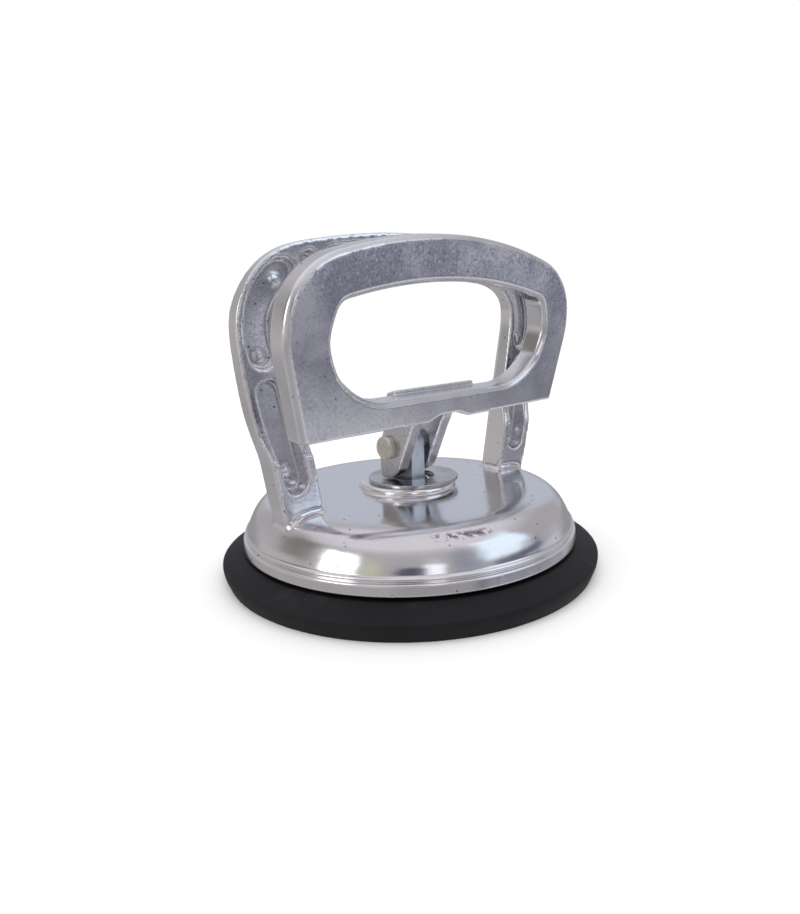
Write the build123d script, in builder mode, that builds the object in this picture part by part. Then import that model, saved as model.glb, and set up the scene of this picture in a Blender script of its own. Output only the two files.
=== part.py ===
"""Single-cup vacuum lifter: rubber pad, polished casting with a fixed handle, and a cam lever.

Millimetres. Origin at the centre of the pad's sealing face, +Z up, +X along the handles,
-Y towards the lever. Stored locked: the lever stands upright.
"""

import os
from math import cos, radians, sin

from build123d import *

# Rubber pad
PAD_R = 60.0
PAD_EDGE_Z = 4.85
LIP_R = 58.6
CAVITY_DEPTH = 3.6
PLATE_R = 38.2
PLATE_Z = 8.5
PLATE_T = 2.0
PLATE_TOP = PLATE_Z + PLATE_T

# Dome
RIM_R = 53.4
RIM_Z = 9.2
RIM_TOP = 12.5
DECK_Z = 24.4
DECK_R = 38.0
DECK_UNDER = 21.2
BOSS_R = 15.4
BOSS_TOP = 26.5
BOSS_EDGE = 0.8
COLLAR_R = 8.5
COLLAR_Z = 17.5
RIB_Z = 18.2
RIB_T = 2.5
RIB_COUNT = 6

# Casting: it is loose on the tongue and rests turned a little about +Z
CASTING_TURN = -6.0
BORE_R = 6.3

# Fixed handle, in the casting's own turned frame
HANDLE_TOP = 101.8
HANDLE_FRONT_Y = -4.9
LEG_FRONT_Y = -7.6
FOOT_FRONT_Y = -6.2
RAMP_LOW_Z = 40.5
RAMP_HIGH_Z = 48.0
LEG_LOW = 15.0
BACK_LOW_Y = 3.1
BACK_HIGH_Y = 0.2
POCKET_FLOOR_Y = -1.6
LEG_POCKET_W = 7.2
CORNER_POCKET_W = 8.0
CROWN_POCKET_W = 6.4
DIMPLE_R = 2.8
EDGE = 1.2
EJECTOR_R = 1.4
EJECTOR_T = 0.5
EJECTOR_MARKS = [(43.8, 36.6), (49.3, 69.0), (43.1, 88.3)]

# Pin and cam
PIN_Y = -1.0
PIN_Z = 38.2
PIN_R = 2.5
PIN_HEAD_R = 3.7
PIN_HEAD_T = 2.2
RUNNING_FIT = 0.05
WASHER_R = 14.5
WASHER_HOLE_R = 6.7
WASHER_SHIFT = (1.4, -1.4)
WASHER_T = 1.1
CAM_GAP = 0.3
CAM_LIFT = 3.1  # mm of lift per radian of lever travel
LEVER_TRAVEL = radians(55)
EAR_IN = 4.2
EAR_OUT = 8.4

# Pin
PIN_HEAD_X = 10.7
PIN_END_X = 10.6
GROOVE_X = 8.5
GROOVE_W = 1.0
GROOVE_R = 1.9
CLIP_T = 0.8
CLIP_R = 4.6

# Tongue
TONGUE_T = 5.6
TONGUE_W = 8.6
FLANGE_R = 8.0
FLANGE_T = 2.0
TENON_R = 4.0

# Lever: its front face leans forward
LEAN = radians(7.12)
LEVER_ORIGIN = (0, -20.85, 60)
LEVER_T = 7.5
LEVER_BACK_EDGE = 1.1
BAR_T = 12.0
BAR_LOW = -12.5
BAR_HIGH = -4.8
RIDGE_HIGH = -3.2
RELIEF_W = 8.5
LEVER_POCKET = 3.4
LEVER_POCKET_W = 6.0
EAR_BACK_Y = 3.4
HEEL_R = 1.9

# Spring
SPRING_R = 11.0
SPRING_WIRE_R = 0.9
SPRING_TURNS = 3

os.makedirs("parts", exist_ok=True)

WASHER_TOP = BOSS_TOP + WASHER_T
TONGUE_LOW = PLATE_TOP + FLANGE_T
WASHER_DROP = PIN_Z - WASHER_TOP - CAM_GAP
LEVER_AXIS = Axis((0, 0, 0), (0, -cos(LEAN), -sin(LEAN)))
LEVER_PLANE = Plane(LEVER_ORIGIN, x_dir=(1, 0, 0), z_dir=(0, -cos(LEAN), -sin(LEAN)))


def symmetric_face(half):
    """Face inside half an outline (edges from the top centre to the bottom centre) and its mirror image."""
    return make_face(half + [edge.mirror(Plane.YZ) for edge in half])


def handle_outline():
    """Outside of the fixed handle, front view, X across and Y up."""
    crown = Spline(
        (0, HANDLE_TOP), (20, 100.6), (33, 98.8), (40, 97.2), (46, 94.2), (51, 89.4), (54.6, 83.2), (56, 75),
        tangents=[(1, 0), (0, -1)],
    )
    side = Spline(crown @ 1, (55.2, 63), (54, 54), (52.3, 47), (50.3, 40), tangents=[(0, -1), (-0.2, -1)])
    leg = Line(side @ 1, (46.4, LEG_LOW))
    foot = Line(leg @ 1, (0, LEG_LOW))
    return symmetric_face([crown, side, leg, foot])


def handle_window():
    """Inside of the fixed handle, open at the bottom between the legs."""
    crown = Spline(
        (0, 90.2), (15, 89.9), (25.1, 88.8), (34.2, 87.1), (39, 85.2), (42.5, 81.8), (43.5, 77),
        tangents=[(1, 0), (0, -1)],
    )
    side = Spline(crown @ 1, (42.5, 68.7), (41.1, 60.3), (38.1, 43), tangents=[(0, -1), (-0.16, -1)])
    leg = Line(side @ 1, (33.5, LEG_LOW - 2))
    foot = Line(leg @ 1, (0, LEG_LOW - 2))
    return symmetric_face([crown, side, leg, foot])


def lever_outline():
    """Outside of the lever, on its own leaning front plane."""
    crown = ThreePointArc((0, 39.2), (21.5, 37.75), (41.5, 33.7))
    corner = Spline(
        crown @ 1, (50.8, 28.9), (55.6, 22.6), (57.4, 13.8), (57.0, 8.5),
        tangents=[crown % 1, (-0.19, -1)],
    )
    side = Line(corner @ 1, (52.6, -12.1))
    bottom = Line(side @ 1, (RELIEF_W, BAR_LOW))
    relief = Spline(bottom @ 1, (4, BAR_LOW + 1.6), (0, BAR_LOW + 1.8), tangents=[(-1, 0.3), (-1, 0)])
    return symmetric_face([crown, corner, side, bottom, relief])


def lever_window():
    """Finger opening of the lever."""
    crown = ThreePointArc((0, 26.8), (20, 25.6), (38.6, 22.3))
    end = Spline(
        crown @ 1, (42.6, 17.6), (43.8, 11.5), (42.1, 5.6), (37.8, 0.4),
        tangents=[crown % 1, (-0.78, -0.63)],
    )
    corner = TangentArc(end @ 1, (24, BAR_HIGH), tangent=end % 1)
    bottom = Line(corner @ 1, (0, BAR_HIGH))
    return symmetric_face([crown, end, corner, bottom])


def cam_point(turn):
    """Point of the ear that carries the load when the lever has turned this far, as (y, z)."""
    reach = WASHER_DROP - CAM_LIFT * turn
    along = reach * sin(turn) - CAM_LIFT * cos(turn)
    down = reach * cos(turn) + CAM_LIFT * sin(turn)
    return (PIN_Y - along, PIN_Z - down)


def ear_outline():
    """Cam ear seen from the side, as (y, z)."""
    cam = Spline([cam_point(LEVER_TRAVEL * i / 6) for i in range(7)])
    front = Polyline(cam @ 1, (-11.2, 44.6), (-12.6, 47), (-13, 50.5), (-9, 52.5))
    back = Polyline(
        front @ 1, (-6.5, 50.5), (1.0, 44.0), (EAR_BACK_Y, 39), (EAR_BACK_Y, cam_point(0)[1] + HEEL_R),
    )
    heel = TangentArc(back @ 1, cam @ 0, tangent=(0, -1))
    return make_face([cam, *front.edges(), *back.edges(), heel])


def front(y):
    """Plane facing the front at this y, with X across and Z up."""
    return Plane((0, y, 0), x_dir=(1, 0, 0), z_dir=(0, -1, 0))


def handle_side():
    """Side profile of the fixed handle on the YZ plane: drafted back, legs stepping forward."""
    low, top = LEG_LOW - 5, HANDLE_TOP + 5
    return make_face(
        Polyline(
            (BACK_LOW_Y, low), (BACK_HIGH_Y, top), (HANDLE_FRONT_Y, top), (HANDLE_FRONT_Y, RAMP_HIGH_Z),
            (LEG_FRONT_Y, RAMP_LOW_Z), (FOOT_FRONT_Y, low),
            close=True,
        )
    )


def handle_arch():
    """Fixed handle with its stepped legs and the pockets in its front, before it joins the dome."""
    depth = BACK_LOW_Y - LEG_FRONT_Y
    arch = extrude(front(BACK_LOW_Y) * HANDLE_FACE, amount=depth)
    arch &= extrude(Plane.YZ * handle_side(), amount=PAD_R, both=True)
    arch = chamfer(arch.faces().sort_by(Axis.Y)[-1].outer_wire().edges(), EDGE)
    slots = [LEG_SLOT, CORNER_SLOT, DIMPLE]
    slots += [slot.mirror(Plane.YZ) for slot in slots] + [CROWN_SLOT]
    for slot in slots:
        arch -= extrude(front(POCKET_FLOOR_Y) * slot, amount=depth)
    marks = [Pos(x, z) * Circle(EJECTOR_R) for x, z in EJECTOR_MARKS]
    for mark in marks + [mark.mirror(Plane.YZ) for mark in marks]:
        arch += extrude(front(POCKET_FLOOR_Y) * mark, amount=EJECTOR_T)
    return Rot(0, 0, CASTING_TURN) * arch


def above_bar(edge):
    """True for the lever's edges other than the lower edge of its bar."""
    return edge.center().Z > LEVER_ORIGIN[2] + BAR_LOW + 3


def ears():
    """Both cam ears, bored for the pin."""
    ear = extrude(Plane.YZ.offset(EAR_IN) * EAR, amount=EAR_OUT - EAR_IN)
    bore = Plane.YZ * Pos(PIN_Y, PIN_Z) * Circle(PIN_R + RUNNING_FIT)
    ear -= extrude(bore, amount=PIN_END_X)
    return ear + ear.mirror(Plane.YZ)


HANDLE_FACE = handle_outline() - handle_window()
LEVER_OUTLINE = lever_outline()
LEVER_WINDOW = lever_window()
EAR = ear_outline()
LEG_SLOT = Pos(45.7, 46.8) * SlotCenterToCenter(25.0, LEG_POCKET_W, rotation=79.0)
CORNER_SLOT = SlotArc(ThreePointArc((49.1, 69.6), (49.0, 81), (42.0, 89.8)), CORNER_POCKET_W)
CROWN_SLOT = SlotArc(ThreePointArc((-25, 94.3), (0, 96), (25, 94.3)), CROWN_POCKET_W)
DIMPLE = Pos(33.6, 93.0) * Circle(DIMPLE_R)
LEVER_CROWN_SLOT = SlotArc(ThreePointArc((-32, 30.2), (0, 33.0), (32, 30.2)), LEVER_POCKET_W)
LEVER_END_SLOT = SlotArc(ThreePointArc((49.5, 20), (50.2, 12), (48.6, 1)), LEVER_POCKET_W)

HANDLE_ARCH = handle_arch()
EARS = ears()

with BuildPart() as rubber_pad:
    with BuildSketch(Plane.XZ):
        with BuildLine():
            hollow = ThreePointArc((0, CAVITY_DEPTH), (28, 2.6), (53, 0.5))
            lip = Polyline(hollow @ 1, (54.2, 0), (LIP_R, 0))
            edge = Spline(lip @ 1, (59.6, 2.6), (PAD_R, PAD_EDGE_Z), tangents=[(0.3, 1), (0, 1)])
            brow = Spline(edge @ 1, (59.2, 5.8), (56.5, 7.0), tangents=[(0, 1), (-1, 0.42)])
            Polyline(
                brow @ 1, (53.6, 8.2), (42.5, 8.7), (41, 9.7), (PLATE_R, 9.7), (PLATE_R, PLATE_Z),
                (0, PLATE_Z), hollow @ 0,
            )
        make_face()
    revolve(axis=Axis.Z)

with BuildPart() as backing_plate:
    with BuildSketch(Plane.XY.offset(PLATE_Z)):
        Circle(PLATE_R)
        Circle(TENON_R, mode=Mode.SUBTRACT)
    extrude(amount=PLATE_T)
    chamfer(backing_plate.edges().filter_by(GeomType.CIRCLE).sort_by(Axis.Z)[-1], 0.4)

with BuildPart() as draw_tongue:
    with BuildSketch(Plane.XY.offset(PLATE_Z)):
        Circle(TENON_R)
    extrude(amount=PLATE_T)
    with BuildSketch(Plane.XY.offset(PLATE_TOP)):
        Circle(FLANGE_R)
    extrude(amount=FLANGE_T)
    with BuildSketch(Plane.YZ.offset(-TONGUE_T / 2)):
        with Locations((PIN_Y, PIN_Z)):
            Circle(TONGUE_W / 2)
        with Locations((PIN_Y, (TONGUE_LOW + PIN_Z) / 2)):
            Rectangle(TONGUE_W, PIN_Z - TONGUE_LOW)
        with Locations((PIN_Y, PIN_Z)):
            Circle(PIN_R, mode=Mode.SUBTRACT)
    extrude(amount=TONGUE_T)

with BuildPart() as pivot_pin:
    with BuildSketch(Plane.YZ.offset(-PIN_HEAD_X)):
        with Locations((PIN_Y, PIN_Z)):
            Circle(PIN_HEAD_R)
    extrude(amount=PIN_HEAD_T)
    with BuildSketch(Plane.YZ.offset(-PIN_HEAD_X + PIN_HEAD_T)):
        with Locations((PIN_Y, PIN_Z)):
            Circle(PIN_R)
    extrude(amount=PIN_END_X + PIN_HEAD_X - PIN_HEAD_T)
    with BuildSketch(Plane.YZ.offset(GROOVE_X)):
        with Locations((PIN_Y, PIN_Z)):
            Circle(PIN_R)
            Circle(GROOVE_R, mode=Mode.SUBTRACT)
    extrude(amount=GROOVE_W, mode=Mode.SUBTRACT)
    ends = pivot_pin.edges().filter_by(GeomType.CIRCLE).sort_by(Axis.X)
    chamfer([ends[0], ends[-1]], 0.5)

with BuildPart() as pin_clip:
    with BuildSketch(Plane.YZ.offset(GROOVE_X + (GROOVE_W - CLIP_T) / 2)):
        with Locations((PIN_Y, PIN_Z)):
            Circle(CLIP_R)
            Circle(GROOVE_R, mode=Mode.SUBTRACT)
        with Locations((PIN_Y, PIN_Z - CLIP_R)):
            Rectangle(2 * GROOVE_R - 0.5, 2 * CLIP_R, mode=Mode.SUBTRACT)
    extrude(amount=CLIP_T)

with BuildPart() as wear_washer:
    with BuildSketch(Plane.XY.offset(BOSS_TOP)):
        with Locations(WASHER_SHIFT):
            Circle(WASHER_R)
            Circle(WASHER_HOLE_R, mode=Mode.SUBTRACT)
    extrude(amount=WASHER_T)
    chamfer(wear_washer.edges().filter_by(GeomType.CIRCLE), 0.25)

with BuildPart() as return_spring:
    with BuildLine():
        coil = Helix(
            pitch=(DECK_UNDER - PLATE_TOP - 2 * SPRING_WIRE_R) / SPRING_TURNS,
            height=DECK_UNDER - PLATE_TOP - 2 * SPRING_WIRE_R,
            radius=SPRING_R,
            center=(0, 0, PLATE_TOP + SPRING_WIRE_R),
        )
    with BuildSketch(Plane(coil @ 0, z_dir=coil % 0)):
        Circle(SPRING_WIRE_R)
    sweep(path=coil, is_frenet=True)

with BuildPart() as body_casting:
    with BuildSketch(Plane.XZ):
        with BuildLine():
            boss = Polyline(
                (0, BOSS_TOP), (BOSS_R - BOSS_EDGE, BOSS_TOP), (BOSS_R, BOSS_TOP - BOSS_EDGE),
                (BOSS_R + 0.2, DECK_Z), (DECK_R, DECK_Z),
            )
            shoulder = Spline(
                boss @ 1, (44.6, 23.6), (48.3, 20.9), (50.6, 17.2), (51.8, 14.2),
                tangents=[(1, 0), (0.35, -1)],
            )
            Polyline(
                shoulder @ 1, (52.5, 13.9), (52.6, 13.3), (52.1, 13.0), (52.1, RIM_TOP + 0.1),
                (53.1, RIM_TOP), (RIM_R, RIM_Z), (0, RIM_Z), boss @ 0,
            )
        make_face()
    revolve(axis=Axis.Z)
    add(HANDLE_ARCH)
    with BuildSketch(Plane.XZ):
        with BuildLine():
            wall = Spline(
                (50.2, 12), (48.4, 16.6), (45, 20.1), (39, DECK_UNDER), tangents=[(-0.2, 1), (-1, 0)],
            )
            Polyline(
                wall @ 1, (COLLAR_R, DECK_UNDER), (COLLAR_R, COLLAR_Z), (0, COLLAR_Z), (0, RIM_Z - 1),
                (50.4, RIM_Z - 1), wall @ 0,
            )
        make_face()
    revolve(axis=Axis.Z, mode=Mode.SUBTRACT)
    with BuildSketch(Plane.XY.offset(RIB_Z)):
        with PolarLocations(0, RIB_COUNT, start_angle=90 + CASTING_TURN):
            with Locations((30, 0)):
                Rectangle(32, RIB_T)
    extrude(amount=DECK_UNDER + 0.5 - RIB_Z)
    with BuildSketch(Plane.XY.offset(COLLAR_Z)):
        Circle(BORE_R)
    extrude(amount=BOSS_TOP - COLLAR_Z, mode=Mode.SUBTRACT)

with BuildPart() as lever:
    with BuildSketch(LEVER_PLANE):
        add(LEVER_OUTLINE)
        add(LEVER_WINDOW, mode=Mode.SUBTRACT)
    extrude(amount=-LEVER_T)
    chamfer(lever.faces().sort_by(LEVER_AXIS)[-1].edges().filter_by(above_bar), EDGE)
    chamfer(lever.faces().sort_by(LEVER_AXIS)[0].outer_wire().edges().filter_by(above_bar), LEVER_BACK_EDGE)
    with BuildSketch(LEVER_PLANE.offset(-LEVER_T)):
        for slot in [LEVER_END_SLOT, LEVER_END_SLOT.mirror(Plane.YZ), LEVER_CROWN_SLOT]:
            add(slot)
    extrude(amount=LEVER_POCKET, mode=Mode.SUBTRACT)
    with BuildSketch(LEVER_PLANE.offset(-LEVER_T + 1)):
        Polygon((-17, BAR_LOW), (17, BAR_LOW), (17, RIDGE_HIGH), (-17, RIDGE_HIGH), align=None)
    extrude(amount=LEVER_T - BAR_T - 1, taper=20)
    add(EARS)

for name, part in {
    "rubber_pad": rubber_pad,
    "backing_plate": backing_plate,
    "draw_tongue": draw_tongue,
    "pivot_pin": pivot_pin,
    "pin_clip": pin_clip,
    "wear_washer": wear_washer,
    "return_spring": return_spring,
    "body_casting": body_casting,
    "lever": lever,
}.items():
    part.part.label = name
    export_step(part.part, f"parts/{name}.step")
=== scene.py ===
"""Looks of the single-cup vacuum lifter: cast aluminium, zinc plated steel and black rubber."""

import bpy
import numpy as np
from mathutils import Matrix, Vector


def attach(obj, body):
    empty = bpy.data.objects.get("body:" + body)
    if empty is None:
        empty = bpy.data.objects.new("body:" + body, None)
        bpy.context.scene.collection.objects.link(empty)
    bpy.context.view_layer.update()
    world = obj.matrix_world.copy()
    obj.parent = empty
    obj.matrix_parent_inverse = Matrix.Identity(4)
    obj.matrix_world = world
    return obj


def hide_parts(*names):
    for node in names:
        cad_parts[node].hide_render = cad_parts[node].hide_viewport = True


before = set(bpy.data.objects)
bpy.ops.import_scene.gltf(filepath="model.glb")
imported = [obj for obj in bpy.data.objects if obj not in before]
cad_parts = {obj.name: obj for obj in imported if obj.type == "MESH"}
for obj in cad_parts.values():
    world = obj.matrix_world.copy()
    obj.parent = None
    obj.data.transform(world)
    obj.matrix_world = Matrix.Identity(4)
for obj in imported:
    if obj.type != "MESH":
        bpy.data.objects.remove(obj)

MM = 0.001
DEGREES = 180 / np.pi

# Camera
CAMERA_PLACE = (-0.13676, -0.14451, 0.07729)
CAMERA_BEARING = np.radians(47.18)
CAMERA_PITCH = np.radians(-12.39)
CAMERA_ROLL = np.radians(-2.06)
FOCAL_LENGTH = 24.816
SENSOR_WIDTH = 36

# Castings
BODY_VOXEL = 0.38 * MM
LEVER_VOXEL = 0.3 * MM
STEP_SMOOTHING = 12
EDGE_SOFTENING = 2
FOOT_SOFTENING = 45
EDGE_REACH = 8
FULL_EDGE = 0.12 * MM
CASTING_TURN = np.radians(-6)
POLISHED = 0.08

# Polished skin of the dome: radius and height in mm, from the bore over the boss and deck to the rim
DECK = [(6.3, 19), (6.3, 26.5), (14.6, 26.5), (15.4, 25.7), (15.6, 24.4), (38, 24.4)]
SHOULDER = [(38, 24.4), (44.6, 23.6), (48.3, 20.9), (50.6, 17.2), (51.8, 14.2)]
RIM = [(52.5, 13.9), (52.6, 13.3), (52.1, 13.0), (52.1, 12.6), (53.1, 12.5), (53.4, 9.2), (50.9, 9.2)]
SKIN_STEP = 0.2
SKIN_SEGMENTS = 288
SKIN_DEPTH = 0.1 * MM
SKIN_EDGE_REACH = 12
SKIN_FULL_EDGE = 0.1 * MM
RIM_SINK = 0.7 * MM

# Surface relief
CASTING_RELIEF = 0.012 * MM
STEEL_RELIEF = 0.01 * MM
STEEL_EDGE = 0.15 * MM
RUBBER_RELIEF = 0.035 * MM
MOULD_LINES = 7000

# Stage
FLOOR_HALF = 2.0
FLOOR_SOLID = 0.2
FLOOR_GONE = 0.7
LIGHT_PLACE = (-0.15, -0.2, 1.2)
LIGHT_SIZE = 1.2
LIGHT_POWER = 4.0
LIGHT_TARGET = (0, 0, 0.04)
ROOM_RAGGED = 0.09

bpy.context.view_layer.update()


def camera():
    """Looks along the bearing and pitch, turned by the roll about its own axis."""
    data = bpy.data.cameras.new("camera")
    data.sensor_width = SENSOR_WIDTH
    data.lens = FOCAL_LENGTH
    data.clip_start = 0.01
    eye = bpy.data.objects.new("camera", data)
    bpy.context.scene.collection.objects.link(eye)
    heading = Matrix.Rotation(CAMERA_BEARING - np.pi / 2, 4, "Z")
    tilt = Matrix.Rotation(CAMERA_PITCH + np.pi / 2, 4, "X")
    roll = Matrix.Rotation(CAMERA_ROLL, 4, "Z")
    eye.matrix_world = Matrix.Translation(CAMERA_PLACE) @ heading @ tilt @ roll
    bpy.context.scene.camera = eye


# Node helpers

def node(tree, kind, inputs=None, **settings):
    """Adds a shader node; an input is either linked from a socket or set."""
    new = tree.nodes.new("ShaderNode" + kind)
    for key, value in settings.items():
        setattr(new, key, value)
    for key, value in (inputs or {}).items():
        if isinstance(value, bpy.types.NodeSocket):
            tree.links.new(value, new.inputs[key])
        else:
            new.inputs[key].default_value = value
    return new


def ramp(tree, value, low, high, start=0.0, end=1.0):
    """Maps value from low..high smoothly onto start..end."""
    inputs = {"Value": value, "From Min": low, "From Max": high, "To Min": start, "To Max": end}
    return node(tree, "MapRange", inputs, interpolation_type="SMOOTHSTEP").outputs[0]


def maths(tree, operation, a, b):
    return node(tree, "Math", {0: a, 1: b}, operation=operation).outputs[0]


def blend(tree, factor, a, b, kind="MIX"):
    """Mixes two colours."""
    mixed = node(tree, "Mix", {0: factor, 6: a, 7: b}, data_type="RGBA", blend_type=kind)
    return mixed.outputs[2]


def noise(tree, place, per_metre, detail=3.0, rough=0.55, stretch=None):
    """Noise whose largest lumps are about 1 / per_metre across."""
    if stretch:
        place = node(tree, "Mapping", {"Vector": place, "Scale": stretch}).outputs[0]
    inputs = {"Vector": place, "Scale": per_metre, "Detail": detail, "Roughness": rough}
    return node(tree, "TexNoise", inputs).outputs[0]


def specks(tree, place, per_metre, size):
    """Sparse round specks, 1 inside."""
    cells = node(tree, "TexVoronoi", {"Vector": place, "Scale": per_metre, "Randomness": 1.0})
    near = ramp(tree, cells.outputs["Distance"], size, size * 0.4)
    picked = node(tree, "SeparateColor", {0: cells.outputs["Color"]}).outputs[0]
    return maths(tree, "MULTIPLY", near, ramp(tree, picked, 0.62, 0.7))


def rgb(red, green, blue):
    return (red, green, blue, 1.0)


def material(name):
    """A new material: its node tree, its Principled node and its object coordinates."""
    made = bpy.data.materials.new(name)
    made.use_nodes = True
    tree = made.node_tree
    place = node(tree, "TexCoord").outputs["Object"]
    return made, tree, tree.nodes["Principled BSDF"], place


def bump(tree, shader, height, depth, normal=None):
    """Raises the surface by up to depth metres where height is 1, and returns the new normal."""
    inputs = {"Height": height, "Distance": depth, "Strength": 1.0}
    if normal:
        inputs["Normal"] = normal
    raised = node(tree, "Bump", inputs).outputs[0]
    tree.links.new(raised, shader.inputs["Normal"])
    return raised


def attribute(tree, name):
    return node(tree, "Attribute", attribute_name=name).outputs["Fac"]


# Materials

def cast_aluminium(name, dark, light, hazy):
    """Polished die casting: bright worn edges, mottled haze, pits and fine polishing scratches."""
    made, tree, shader, place = material(name)
    edge, dull = attribute(tree, "edge"), attribute(tree, "dull")
    patches = noise(tree, place, 55, 5, 0.62)
    grain = noise(tree, place, 1500, 3, 0.7)
    mottle = noise(tree, place, 1300, 4, 0.66)
    # dull darkens the tint as well as roughening it; on the lever's upper front face that darkening is
    # painted shade
    tone = maths(tree, "MULTIPLY", dull, ramp(tree, patches, 0.36, 0.66, 1.0, 0.35))
    tint = blend(tree, tone, light, dark)
    spots = maths(tree, "MULTIPLY", ramp(tree, mottle, 0.52, 0.68, 0, 0.6), dull)
    tint = blend(tree, spots, tint, rgb(0.2, 0.2, 0.24))
    clear = maths(tree, "MULTIPLY", ramp(tree, mottle, 0.46, 0.34, 0, 0.5), dull)
    tint = blend(tree, clear, tint, light)
    pits = specks(tree, place, 330, 0.16)
    blots = ramp(tree, noise(tree, place, 700, 3, 0.6), 0.46, 0.54)
    scuff = maths(tree, "MULTIPLY", attribute(tree, "scuff"), blots)
    soot = maths(tree, "MAXIMUM", maths(tree, "MULTIPLY", pits, 0.75), scuff)
    tint = blend(tree, soot, tint, rgb(0.1, 0.095, 0.1))
    chips = ramp(tree, noise(tree, place, 620, 3, 0.6), 0.56, 0.64)
    kept = ramp(tree, maths(tree, "MULTIPLY", chips, dull), 0, 0.6, 1, 0)
    worn = maths(tree, "MULTIPLY", ramp(tree, edge, 0.15, 0.5), kept)
    tint = blend(tree, worn, tint, rgb(0.94, 0.94, 0.95))
    tree.links.new(tint, shader.inputs["Base Color"])
    polish = ramp(tree, patches, 0.35, 0.7, 0.1, 0.2)
    haze = ramp(tree, mottle, 0.3, 0.7, hazy - 0.1, hazy + 0.12)
    rough = node(tree, "Mix", {0: dull, 2: polish, 3: haze}).outputs[0]
    tree.links.new(rough, shader.inputs["Roughness"])
    shader.inputs["Metallic"].default_value = 1.0
    scratches = noise(tree, place, 260, 2, 0.5, stretch=(1, 9, 9))
    cast_grain = maths(tree, "MULTIPLY", grain, dull)
    height = maths(tree, "ADD", cast_grain, maths(tree, "MULTIPLY", scratches, 0.35))
    height = maths(tree, "SUBTRACT", height, maths(tree, "MULTIPLY", pits, 2.0))
    bump(tree, shader, height, CASTING_RELIEF)
    return made


def plated_steel(name, colour, stain, rough, brushed=(1, 1, 1)):
    """Zinc or nickel plated steel with faint tool lines, stains and pits."""
    made, tree, shader, place = material(name)
    patches = noise(tree, place, 160, 4, 0.6)
    lines = noise(tree, place, 700, 2, 0.6, stretch=brushed)
    tint = blend(tree, ramp(tree, patches, 0.45, 0.7, 0, 0.8), colour, stain)
    pits = specks(tree, place, 900, 0.22)
    tint = blend(tree, maths(tree, "MULTIPLY", pits, 0.6), tint, rgb(0.16, 0.14, 0.11))
    tree.links.new(tint, shader.inputs["Base Color"])
    tree.links.new(ramp(tree, patches, 0.3, 0.75, rough, rough + 0.18), shader.inputs["Roughness"])
    shader.inputs["Metallic"].default_value = 1.0
    rounded = node(tree, "Bevel", {"Radius": STEEL_EDGE}, samples=4).outputs[0]
    height = maths(tree, "SUBTRACT", lines, pits)
    bump(tree, shader, height, STEEL_RELIEF, rounded)
    return made


def moulded_rubber(name):
    """Matte black rubber with a bloom, faint stains, mould lines round the pad, and dust."""
    made, tree, shader, place = material(name)
    bloom = noise(tree, place, 40, 5, 0.6)
    grain = noise(tree, place, 2600, 3, 0.6)
    apart = node(tree, "SeparateXYZ", {0: place})
    flat = node(tree, "CombineXYZ", {0: apart.outputs[0], 1: apart.outputs[1]}).outputs[0]
    radius = node(tree, "VectorMath", {0: flat}, operation="LENGTH").outputs["Value"]
    phase = maths(tree, "MULTIPLY", radius, MOULD_LINES)
    waves = node(tree, "Math", {0: phase}, operation="SINE").outputs[0]
    black, grey = rgb(0.006, 0.006, 0.0075), rgb(0.013, 0.013, 0.0155)
    tint = blend(tree, ramp(tree, bloom, 0.35, 0.75), black, grey)
    dust = specks(tree, place, 250, 0.055)
    tint = blend(tree, maths(tree, "MULTIPLY", dust, 0.6), tint, rgb(0.22, 0.21, 0.2))
    stains = ramp(tree, noise(tree, place, 90, 3, 0.5), 0.58, 0.74, 0, 0.3)
    tint = blend(tree, stains, tint, rgb(0.035, 0.035, 0.036))
    tree.links.new(tint, shader.inputs["Base Color"])
    tree.links.new(ramp(tree, bloom, 0.3, 0.7, 0.5, 0.66), shader.inputs["Roughness"])
    shader.inputs["Specular IOR Level"].default_value = 0.28
    height = maths(tree, "ADD", maths(tree, "MULTIPLY", grain, 0.8), maths(tree, "MULTIPLY", waves, 0.12))
    bump(tree, shader, maths(tree, "ADD", height, dust), RUBBER_RELIEF)
    return made


# Castings: the CAD shape with softened edges

def remeshed(node_name, voxel):
    """A finer copy of a CAD node's mesh in even quads."""
    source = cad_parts[node_name]
    copy = bpy.data.objects.new(node_name + "_cast", source.data.copy())
    bpy.context.scene.collection.objects.link(copy)
    grid = copy.modifiers.new("grid", "REMESH")
    grid.mode = "VOXEL"
    grid.voxel_size = voxel
    even = copy.evaluated_get(bpy.context.evaluated_depsgraph_get())
    mesh = bpy.data.meshes.new_from_object(even)
    copy.modifiers.clear()
    copy.data = mesh
    mesh.materials.clear()
    return copy


def relax(points, edges, counts, strength):
    """Moves each point towards the mean of its neighbours by strength, a number or one per point."""
    total = np.zeros_like(points)
    for axis in range(3):
        total[:, axis] = np.bincount(edges[:, 0], points[edges[:, 1], axis], len(points))
        total[:, axis] += np.bincount(edges[:, 1], points[edges[:, 0], axis], len(points))
    return points + strength * (total / counts - points)


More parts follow.
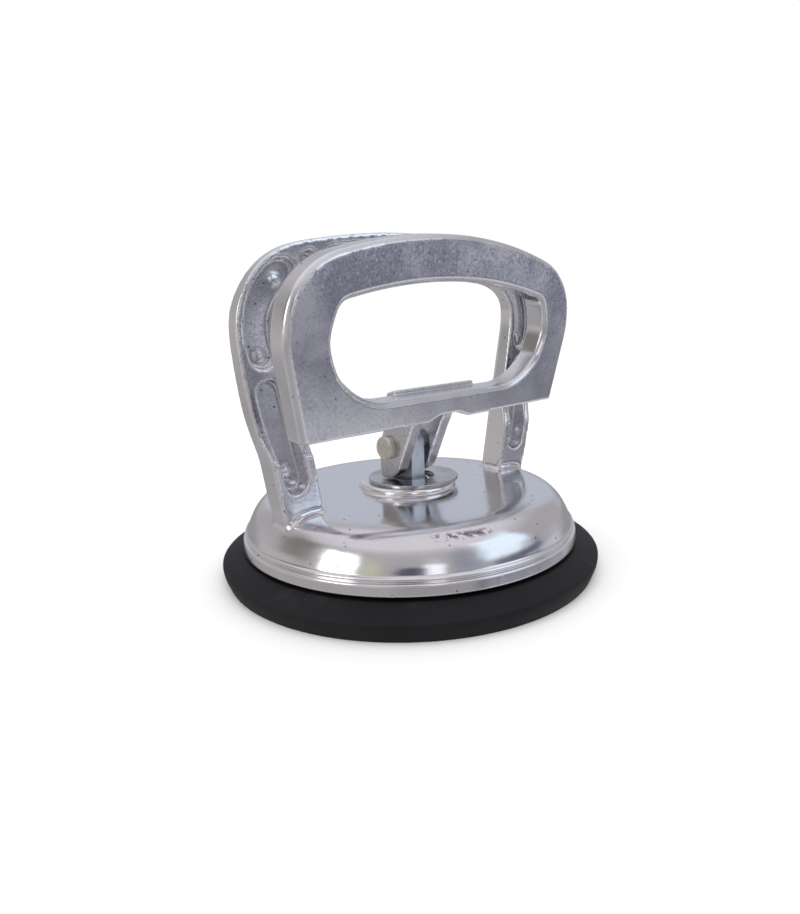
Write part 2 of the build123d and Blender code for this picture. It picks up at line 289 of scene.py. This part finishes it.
def soften(piece, loose):
    """Rounds the edges, more where loose is above 0, and stores how convex the surface is at each point."""
    mesh = piece.data
    points = read(mesh.vertices, "co")
    edges = np.empty(len(mesh.edges) * 2, np.int32)
    mesh.edges.foreach_get("vertices", edges)
    edges = edges.reshape(-1, 2)
    counts = np.maximum(np.bincount(edges.ravel(), minlength=len(points)), 1)[:, None]
    for _ in range(STEP_SMOOTHING):
        points = relax(points, edges, counts, 0.6)
        points = relax(points, edges, counts, -0.5)
    for _ in range(EDGE_SOFTENING):
        points = relax(points, edges, counts, 0.5)
    weight = loose(points)[:, None]
    for _ in range(FOOT_SOFTENING):
        points = relax(points, edges, counts, 0.5 * weight)
    wide = points.copy()
    for _ in range(EDGE_REACH):
        wide = relax(wide, edges, counts, 0.6)
    write(mesh, points)
    normals = read(mesh.vertices, "normal")
    rise = ((points - wide) * normals).sum(1)
    store(mesh, "edge", np.clip(rise / FULL_EDGE, 0, 1))
    return points, normals


def read(vertices, name):
    values = np.empty(len(vertices) * 3, np.float32)
    vertices.foreach_get(name, values)
    return values.reshape(-1, 3).astype(float)


def write(mesh, points):
    mesh.vertices.foreach_set("co", points.astype(np.float32).ravel())
    mesh.polygons.foreach_set("use_smooth", np.ones(len(mesh.polygons), bool))
    mesh.update()


def store(mesh, name, values):
    mesh.attributes.new(name, "FLOAT", "POINT").data.foreach_set("value", values.astype(np.float32))


def fade(values, low, high):
    """0 below low, 1 above high."""
    return np.clip((values - low) / (high - low), 0, 1)


def near_feet(points):
    """1 round the feet of the fixed handle, where the casting runs into the dome in a soft fillet."""
    along = points[:, 0] * np.cos(CASTING_TURN) + points[:, 1] * np.sin(CASTING_TURN)
    across = points[:, 1] * np.cos(CASTING_TURN) - points[:, 0] * np.sin(CASTING_TURN)
    height = points[:, 2]
    side = fade(np.abs(along), 31 * MM, 33 * MM) * fade(np.abs(across), 14 * MM, 11 * MM)
    return side * fade(height, 17 * MM, 20 * MM) * fade(height, 27.5 * MM, 24.8 * MM)


def nowhere(points):
    return np.zeros(len(points))


def hermite(points, first, last):
    """Smooth curve through points with these end directions, finely sampled."""
    points = np.array(points, float)
    slopes = np.vstack([first, (points[2:] - points[:-2]) / 2, last])
    t = np.linspace(0, 1, 60)[:, None]
    spans = []
    for a, b, u, v in zip(points[:-1], points[1:], slopes[:-1], slopes[1:]):
        start = (1 + 2 * t) * (1 - t) ** 2 * a + t * (1 - t) ** 2 * u
        spans.append(start + t**2 * (3 - 2 * t) * b + t**2 * (t - 1) * v)
    return np.vstack(spans)


def smoothed(line, reach):
    """Evenly spaced profile with its corners rounded over about reach steps."""
    for _ in range(reach):
        line = np.vstack([line[:1], (line[:-2] + 2 * line[1:-1] + line[2:]) / 4, line[-1:]])
    return line


def skin_profile():
    """Evenly sampled section of the skin, in metres, as radius and height."""
    shoulder = hermite(SHOULDER, (6, 0), (1, -3))
    rough = np.vstack([DECK[:-1], shoulder, RIM])
    lengths = np.r_[0, np.cumsum(np.linalg.norm(np.diff(rough, axis=0), axis=1))]
    places = np.arange(0, lengths[-1], SKIN_STEP)
    even = np.stack([np.interp(places, lengths, rough[:, axis]) for axis in (0, 1)], 1)
    return smoothed(even, 3) * MM


def scuffs(points):
    """A short row of dark scuffs round the front of the shoulder."""
    radius = np.hypot(points[:, 0], points[:, 1]) / MM
    turn = np.degrees(np.arctan2(points[:, 1], points[:, 0])) % 360
    band = fade(np.abs(radius - 46.8), 1.1, 0.3)
    return band * fade(np.abs(turn - 244), 11, 8) * 0.85


def dome_skin(profile):
    """Turned and polished outside of the dome, boss and rim."""
    angles = np.linspace(0, 2 * np.pi, SKIN_SEGMENTS, endpoint=False)
    radius, height = profile[:, 0, None], profile[:, 1, None]
    rings = np.stack([radius * np.cos(angles), radius * np.sin(angles), height + 0 * angles], 2)
    rows, turn = len(profile), np.arange(SKIN_SEGMENTS)
    after = (turn + 1) % SKIN_SEGMENTS
    faces = []
    for row in range(rows - 1):
        here, below = row * SKIN_SEGMENTS, (row + 1) * SKIN_SEGMENTS
        faces += np.stack([here + turn, below + turn, below + after, here + after], 1).tolist()
    mesh = bpy.data.meshes.new("dome_skin")
    mesh.from_pydata(rings.reshape(-1, 3).tolist(), [], faces)
    write(mesh, rings.reshape(-1, 3))
    along = np.gradient(profile, axis=0)
    outward = np.stack([-along[:, 1], along[:, 0]], 1) / np.linalg.norm(along, axis=1)[:, None]
    rise = ((profile - smoothed(profile, SKIN_EDGE_REACH)) * outward).sum(1)
    store(mesh, "edge", np.repeat(np.clip(rise / SKIN_FULL_EDGE, 0, 1), SKIN_SEGMENTS))
    store(mesh, "dull", np.full(rows * SKIN_SEGMENTS, POLISHED))
    store(mesh, "scuff", scuffs(rings.reshape(-1, 3)))
    piece = bpy.data.objects.new("dome_skin", mesh)
    bpy.context.scene.collection.objects.link(piece)
    return piece


def under_skin(points, normals, profile):
    """Sinks the points that lie on the dome's surface just below its skin."""
    radius = np.hypot(points[:, 0], points[:, 1])
    section = np.stack([radius, points[:, 2]], 1)
    off = np.full(len(points), 1.0)
    for spot in profile:
        off = np.minimum(off, np.hypot(section[:, 0] - spot[0], section[:, 1] - spot[1]))
    sunk = points - normals * (SKIN_DEPTH * fade(off, 0.2 * MM, 0.11 * MM))[:, None]
    rim = fade(radius, 50.2 * MM, 51.2 * MM) * fade(points[:, 2], 15.2 * MM, 14.2 * MM)
    sunk[:, :2] *= (1 - rim * RIM_SINK / np.maximum(radius, 1 * MM))[:, None]
    return sunk


def body_casting():
    finish = cast_aluminium("cast_body", rgb(0.5, 0.5, 0.55), rgb(0.86, 0.85, 0.87), 0.26)
    profile = skin_profile()
    piece = remeshed("body_casting", BODY_VOXEL)
    points, normals = soften(piece, near_feet)
    write(piece.data, under_skin(points, normals, profile))
    handle = fade(points[:, 2], 25 * MM, 29 * MM)
    front = fade(-normals[:, 1], 0.3, 0.8)
    under = fade(-normals[:, 2], 0.3, 0.5) * (points[:, 2] < 22 * MM)
    store(piece.data, "dull", np.clip(POLISHED + handle * (0.07 + 0.45 * front) + under, 0, 1))
    for part in (piece, dome_skin(profile)):
        part.data.materials.append(finish)
        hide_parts("body_casting")
        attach(part, "casting")


def lever():
    piece = remeshed("lever", LEVER_VOXEL)
    points, normals = soften(piece, nowhere)
    height = points[:, 2]
    flat = fade(-normals[:, 1], 0.9, 0.97)
    ears = fade(height, 49 * MM, 45 * MM)
    # painted shade: the flat front face gets a darker tint towards the top, carried by the dull attribute,
    # which also makes it rougher there
    painted_top_shade = fade(height, 53 * MM, 70 * MM)
    store(piece.data, "dull", np.clip(0.25 + flat * (0.2 + 0.55 * painted_top_shade) + 0.35 * ears, 0, 1))
    finish = cast_aluminium("cast_lever", rgb(0.4, 0.41, 0.47), rgb(0.87, 0.87, 0.89), 0.3)
    piece.data.materials.append(finish)
    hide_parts("lever")
    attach(piece, "lever")


def finish_cad_nodes():
    """Better materials for the nodes that keep their CAD shape."""
    zinc = plated_steel("zinc_washer", rgb(0.57, 0.57, 0.59), rgb(0.44, 0.4, 0.31), 0.16, (1, 1, 6))
    tongue = plated_steel("zinc_tongue", rgb(0.86, 0.92, 0.98), rgb(0.74, 0.8, 0.87), 0.34, (1, 6, 1))
    nickel = plated_steel("dull_nickel", rgb(0.84, 0.81, 0.75), rgb(0.66, 0.61, 0.53), 0.34)
    steel = plated_steel("spring_steel", rgb(0.42, 0.42, 0.43), rgb(0.3, 0.29, 0.28), 0.3)
    finishes = {
        "rubber_pad": moulded_rubber("rubber"),
        "backing_plate": zinc,
        "draw_tongue": tongue,
        "pivot_pin": nickel,
        "pin_clip": steel,
        "wear_washer": zinc,
        "return_spring": steel,
    }
    for name, finish in finishes.items():
        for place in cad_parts[name].material_slots:
            place.material = finish


# Room

def patch(tree, bearing, rise, at, size, soft):
    """1 inside a soft rectangle of the room, given by bearing and elevation in degrees."""
    inside = None
    for value, centre, half in ((bearing, at[0], size[0]), (rise, at[1], size[1])):
        signed = maths(tree, "SUBTRACT", value, centre)
        off = node(tree, "Math", {0: signed}, operation="ABSOLUTE").outputs[0]
        side = ramp(tree, off, half + soft, half - soft)
        inside = side if inside is None else maths(tree, "MULTIPLY", inside, side)
    return inside


ROOM = [
    # bearing and elevation, half size, softness, colour
    ((160, -3), (55, 10), 9, rgb(0.5, 0.475, 0.48)),
    ((310, -3), (38, 8), 4, rgb(0.58, 0.58, 0.66)),
    ((306, -14), (38, 5), 4, rgb(0.12, 0.12, 0.16)),
    ((312, -28), (40, 11), 6, rgb(0.6, 0.6, 0.64)),
    ((177, 20), (12, 14), 3, rgb(2.4, 2.35, 2.3)),
    ((201, 22), (6, 10), 4, rgb(0.55, 0.56, 0.42)),
    ((227, 17), (9, 8), 3, rgb(0.1, 0.1, 0.14)),
    ((243, 20), (6, 10), 2, rgb(1.2, 1.2, 1.25)),
    ((264, 24), (9, 12), 4, rgb(0.3, 0.32, 0.37)),
    ((298, 32), (20, 15), 5, rgb(0.95, 1.08, 1.22)),
    ((304, 9), (20, 5), 3, rgb(0.12, 0.13, 0.18)),
    ((140, 26), (15, 14), 7, rgb(0.22, 0.205, 0.19)),
    ((45, 18), (34, 14), 9, rgb(0.52, 0.55, 0.63)),
]


def room():
    """Plain soft light; only reflections see the room's windows, walls and table."""
    world = bpy.data.worlds.new("room")
    bpy.context.scene.world = world
    world.use_nodes = True
    tree = world.node_tree
    tree.nodes.clear()
    facing = node(tree, "TexCoord").outputs["Generated"]
    ragged = node(tree, "TexNoise", {"Vector": facing, "Scale": 9.0, "Detail": 3.0}).outputs["Color"]
    limits = {"Vector": ragged, 9: (-ROOM_RAGGED,) * 3, 10: (ROOM_RAGGED,) * 3}
    shift = node(tree, "MapRange", limits, data_type="FLOAT_VECTOR")
    facing = node(tree, "VectorMath", {0: facing, 1: shift.outputs["Vector"]}, operation="ADD").outputs[0]
    facing = node(tree, "VectorMath", {0: facing}, operation="NORMALIZE").outputs[0]
    heading = node(tree, "SeparateXYZ", {0: facing}).outputs
    turn = maths(tree, "ARCTAN2", heading[1], heading[0])
    whole_turn = maths(tree, "MODULO", maths(tree, "ADD", turn, 2 * np.pi), 2 * np.pi)
    bearing = maths(tree, "MULTIPLY", whole_turn, DEGREES)
    climb = node(tree, "Math", {0: heading[2]}, operation="ARCSINE").outputs[0]
    rise = maths(tree, "MULTIPLY", climb, DEGREES)
    colour = blend(tree, ramp(tree, rise, -4, 2), rgb(0.33, 0.315, 0.325), rgb(0.42, 0.41, 0.42))
    colour = blend(tree, ramp(tree, rise, -30, -10), rgb(0.42, 0.41, 0.42), colour)
    colour = blend(tree, ramp(tree, rise, 30, 58), colour, rgb(0.72, 0.69, 0.74))
    for at, size, soft, shade in ROOM:
        colour = blend(tree, patch(tree, bearing, rise, at, size, soft), colour, shade)
    path = node(tree, "LightPath").outputs
    plain = maths(tree, "MAXIMUM", path["Is Camera Ray"], path["Is Diffuse Ray"])
    colour = blend(tree, plain, colour, rgb(1.03, 1.03, 1.03))
    light = node(tree, "Background", {"Color": colour, "Strength": 1.0}).outputs[0]
    node(tree, "OutputWorld", {"Surface": light})


def softbox():
    """Area light aimed at the middle of the lifter, not mirrored in the metal."""
    data = bpy.data.lights.new("overhead", "AREA")
    data.size = LIGHT_SIZE
    data.energy = LIGHT_POWER
    lamp = bpy.data.objects.new("overhead", data)
    bpy.context.scene.collection.objects.link(lamp)
    lamp.location = LIGHT_PLACE
    aim = Vector(LIGHT_TARGET) - Vector(LIGHT_PLACE)
    lamp.rotation_euler = aim.to_track_quat("-Z", "Y").to_euler()
    lamp.visible_glossy = False


def floor():
    """Plain pale floor that fades into the backdrop."""
    far = FLOOR_HALF
    corners = [(-far, -far, 0), (far, -far, 0), (far, far, 0), (-far, far, 0)]
    mesh = bpy.data.meshes.new("floor")
    mesh.from_pydata(corners, [], [(0, 1, 2, 3)])
    plane = bpy.data.objects.new("floor", mesh)
    bpy.context.scene.collection.objects.link(plane)
    made, tree, shader, place = material("pale_floor")
    tint = blend(tree, noise(tree, place, 8, 2), rgb(0.93, 0.93, 0.93), rgb(0.95, 0.95, 0.95))
    tree.links.new(tint, shader.inputs["Base Color"])
    shader.inputs["Roughness"].default_value = 0.9
    shader.inputs["Specular IOR Level"].default_value = 0.1
    away = node(tree, "VectorMath", {0: place}, operation="LENGTH").outputs["Value"]
    clear = node(tree, "BsdfTransparent").outputs[0]
    inputs = {0: ramp(tree, away, FLOOR_SOLID, FLOOR_GONE), 1: shader.outputs[0], 2: clear}
    faded = node(tree, "MixShader", inputs).outputs[0]
    tree.links.new(faded, tree.nodes["Material Output"].inputs["Surface"])
    mesh.materials.append(made)
    plane.visible_glossy = False


camera()
room()
softbox()
floor()
body_casting()
lever()
finish_cad_nodes()
bpy.context.scene.view_settings.view_transform = "Standard"
